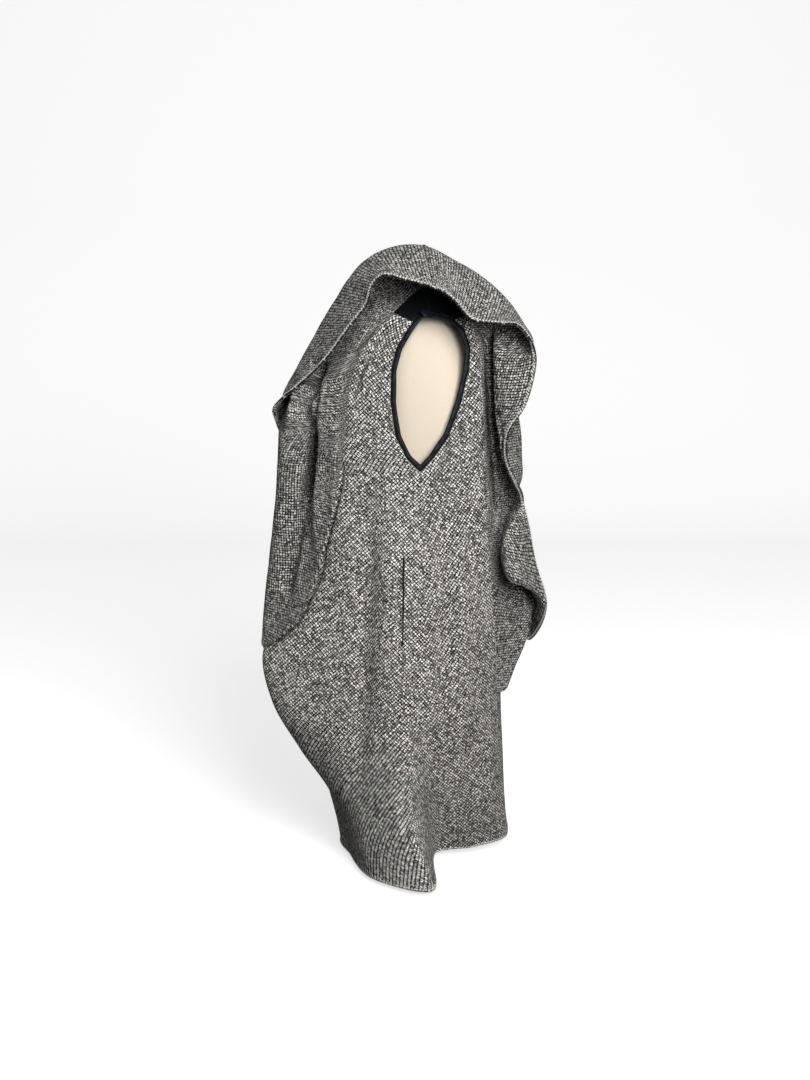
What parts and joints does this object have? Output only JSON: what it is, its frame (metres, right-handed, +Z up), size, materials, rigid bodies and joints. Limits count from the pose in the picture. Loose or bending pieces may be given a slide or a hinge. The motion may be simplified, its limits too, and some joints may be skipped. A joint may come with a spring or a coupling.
{
  "type": "winged tweed cape on a dress form",
  "caption": "Long sleeveless tweed cape with bound armholes, slit pockets and wide wings turned up over the shoulders like hoods, worn on a limbless linen dress form on a stand.",
  "frame": {"origin": "middle of the stand's round foot, on the floor", "axes": "+Z up, the front of the garment faces -Y, the wearer's left is +X"},
  "size_m": [0.6356, 0.54, 1.1819],
  "materials": {
    "tweed": "matt woven wool, dark ground with cream flecks",
    "black_satin": "soft satin sheen",
    "cream_linen": "matt fine plain weave",
    "dark_metal": "satin black paint"
  },
  "bodies": {
    "root": {"front_left": "tweed", "front_right": "tweed", "side_front_left": "tweed", "side_front_right": "tweed", "side_back_left": "tweed", "side_back_right": "tweed", "back": "tweed", "wing_front_left": "tweed", "wing_front_right": "tweed", "wing_back_left": "tweed", "wing_back_right": "tweed", "pocket_lip_left": "tweed", "pocket_lip_right": "tweed", "yoke_left": "black_satin", "yoke_right": "black_satin", "armhole_binding_left": "black_satin", "armhole_binding_right": "black_satin", "form_torso": "cream_linen", "form_neck_cap": "dark_metal", "stand_pole": "dark_metal", "stand_foot": "dark_metal"}
  },
  "joints": []
}
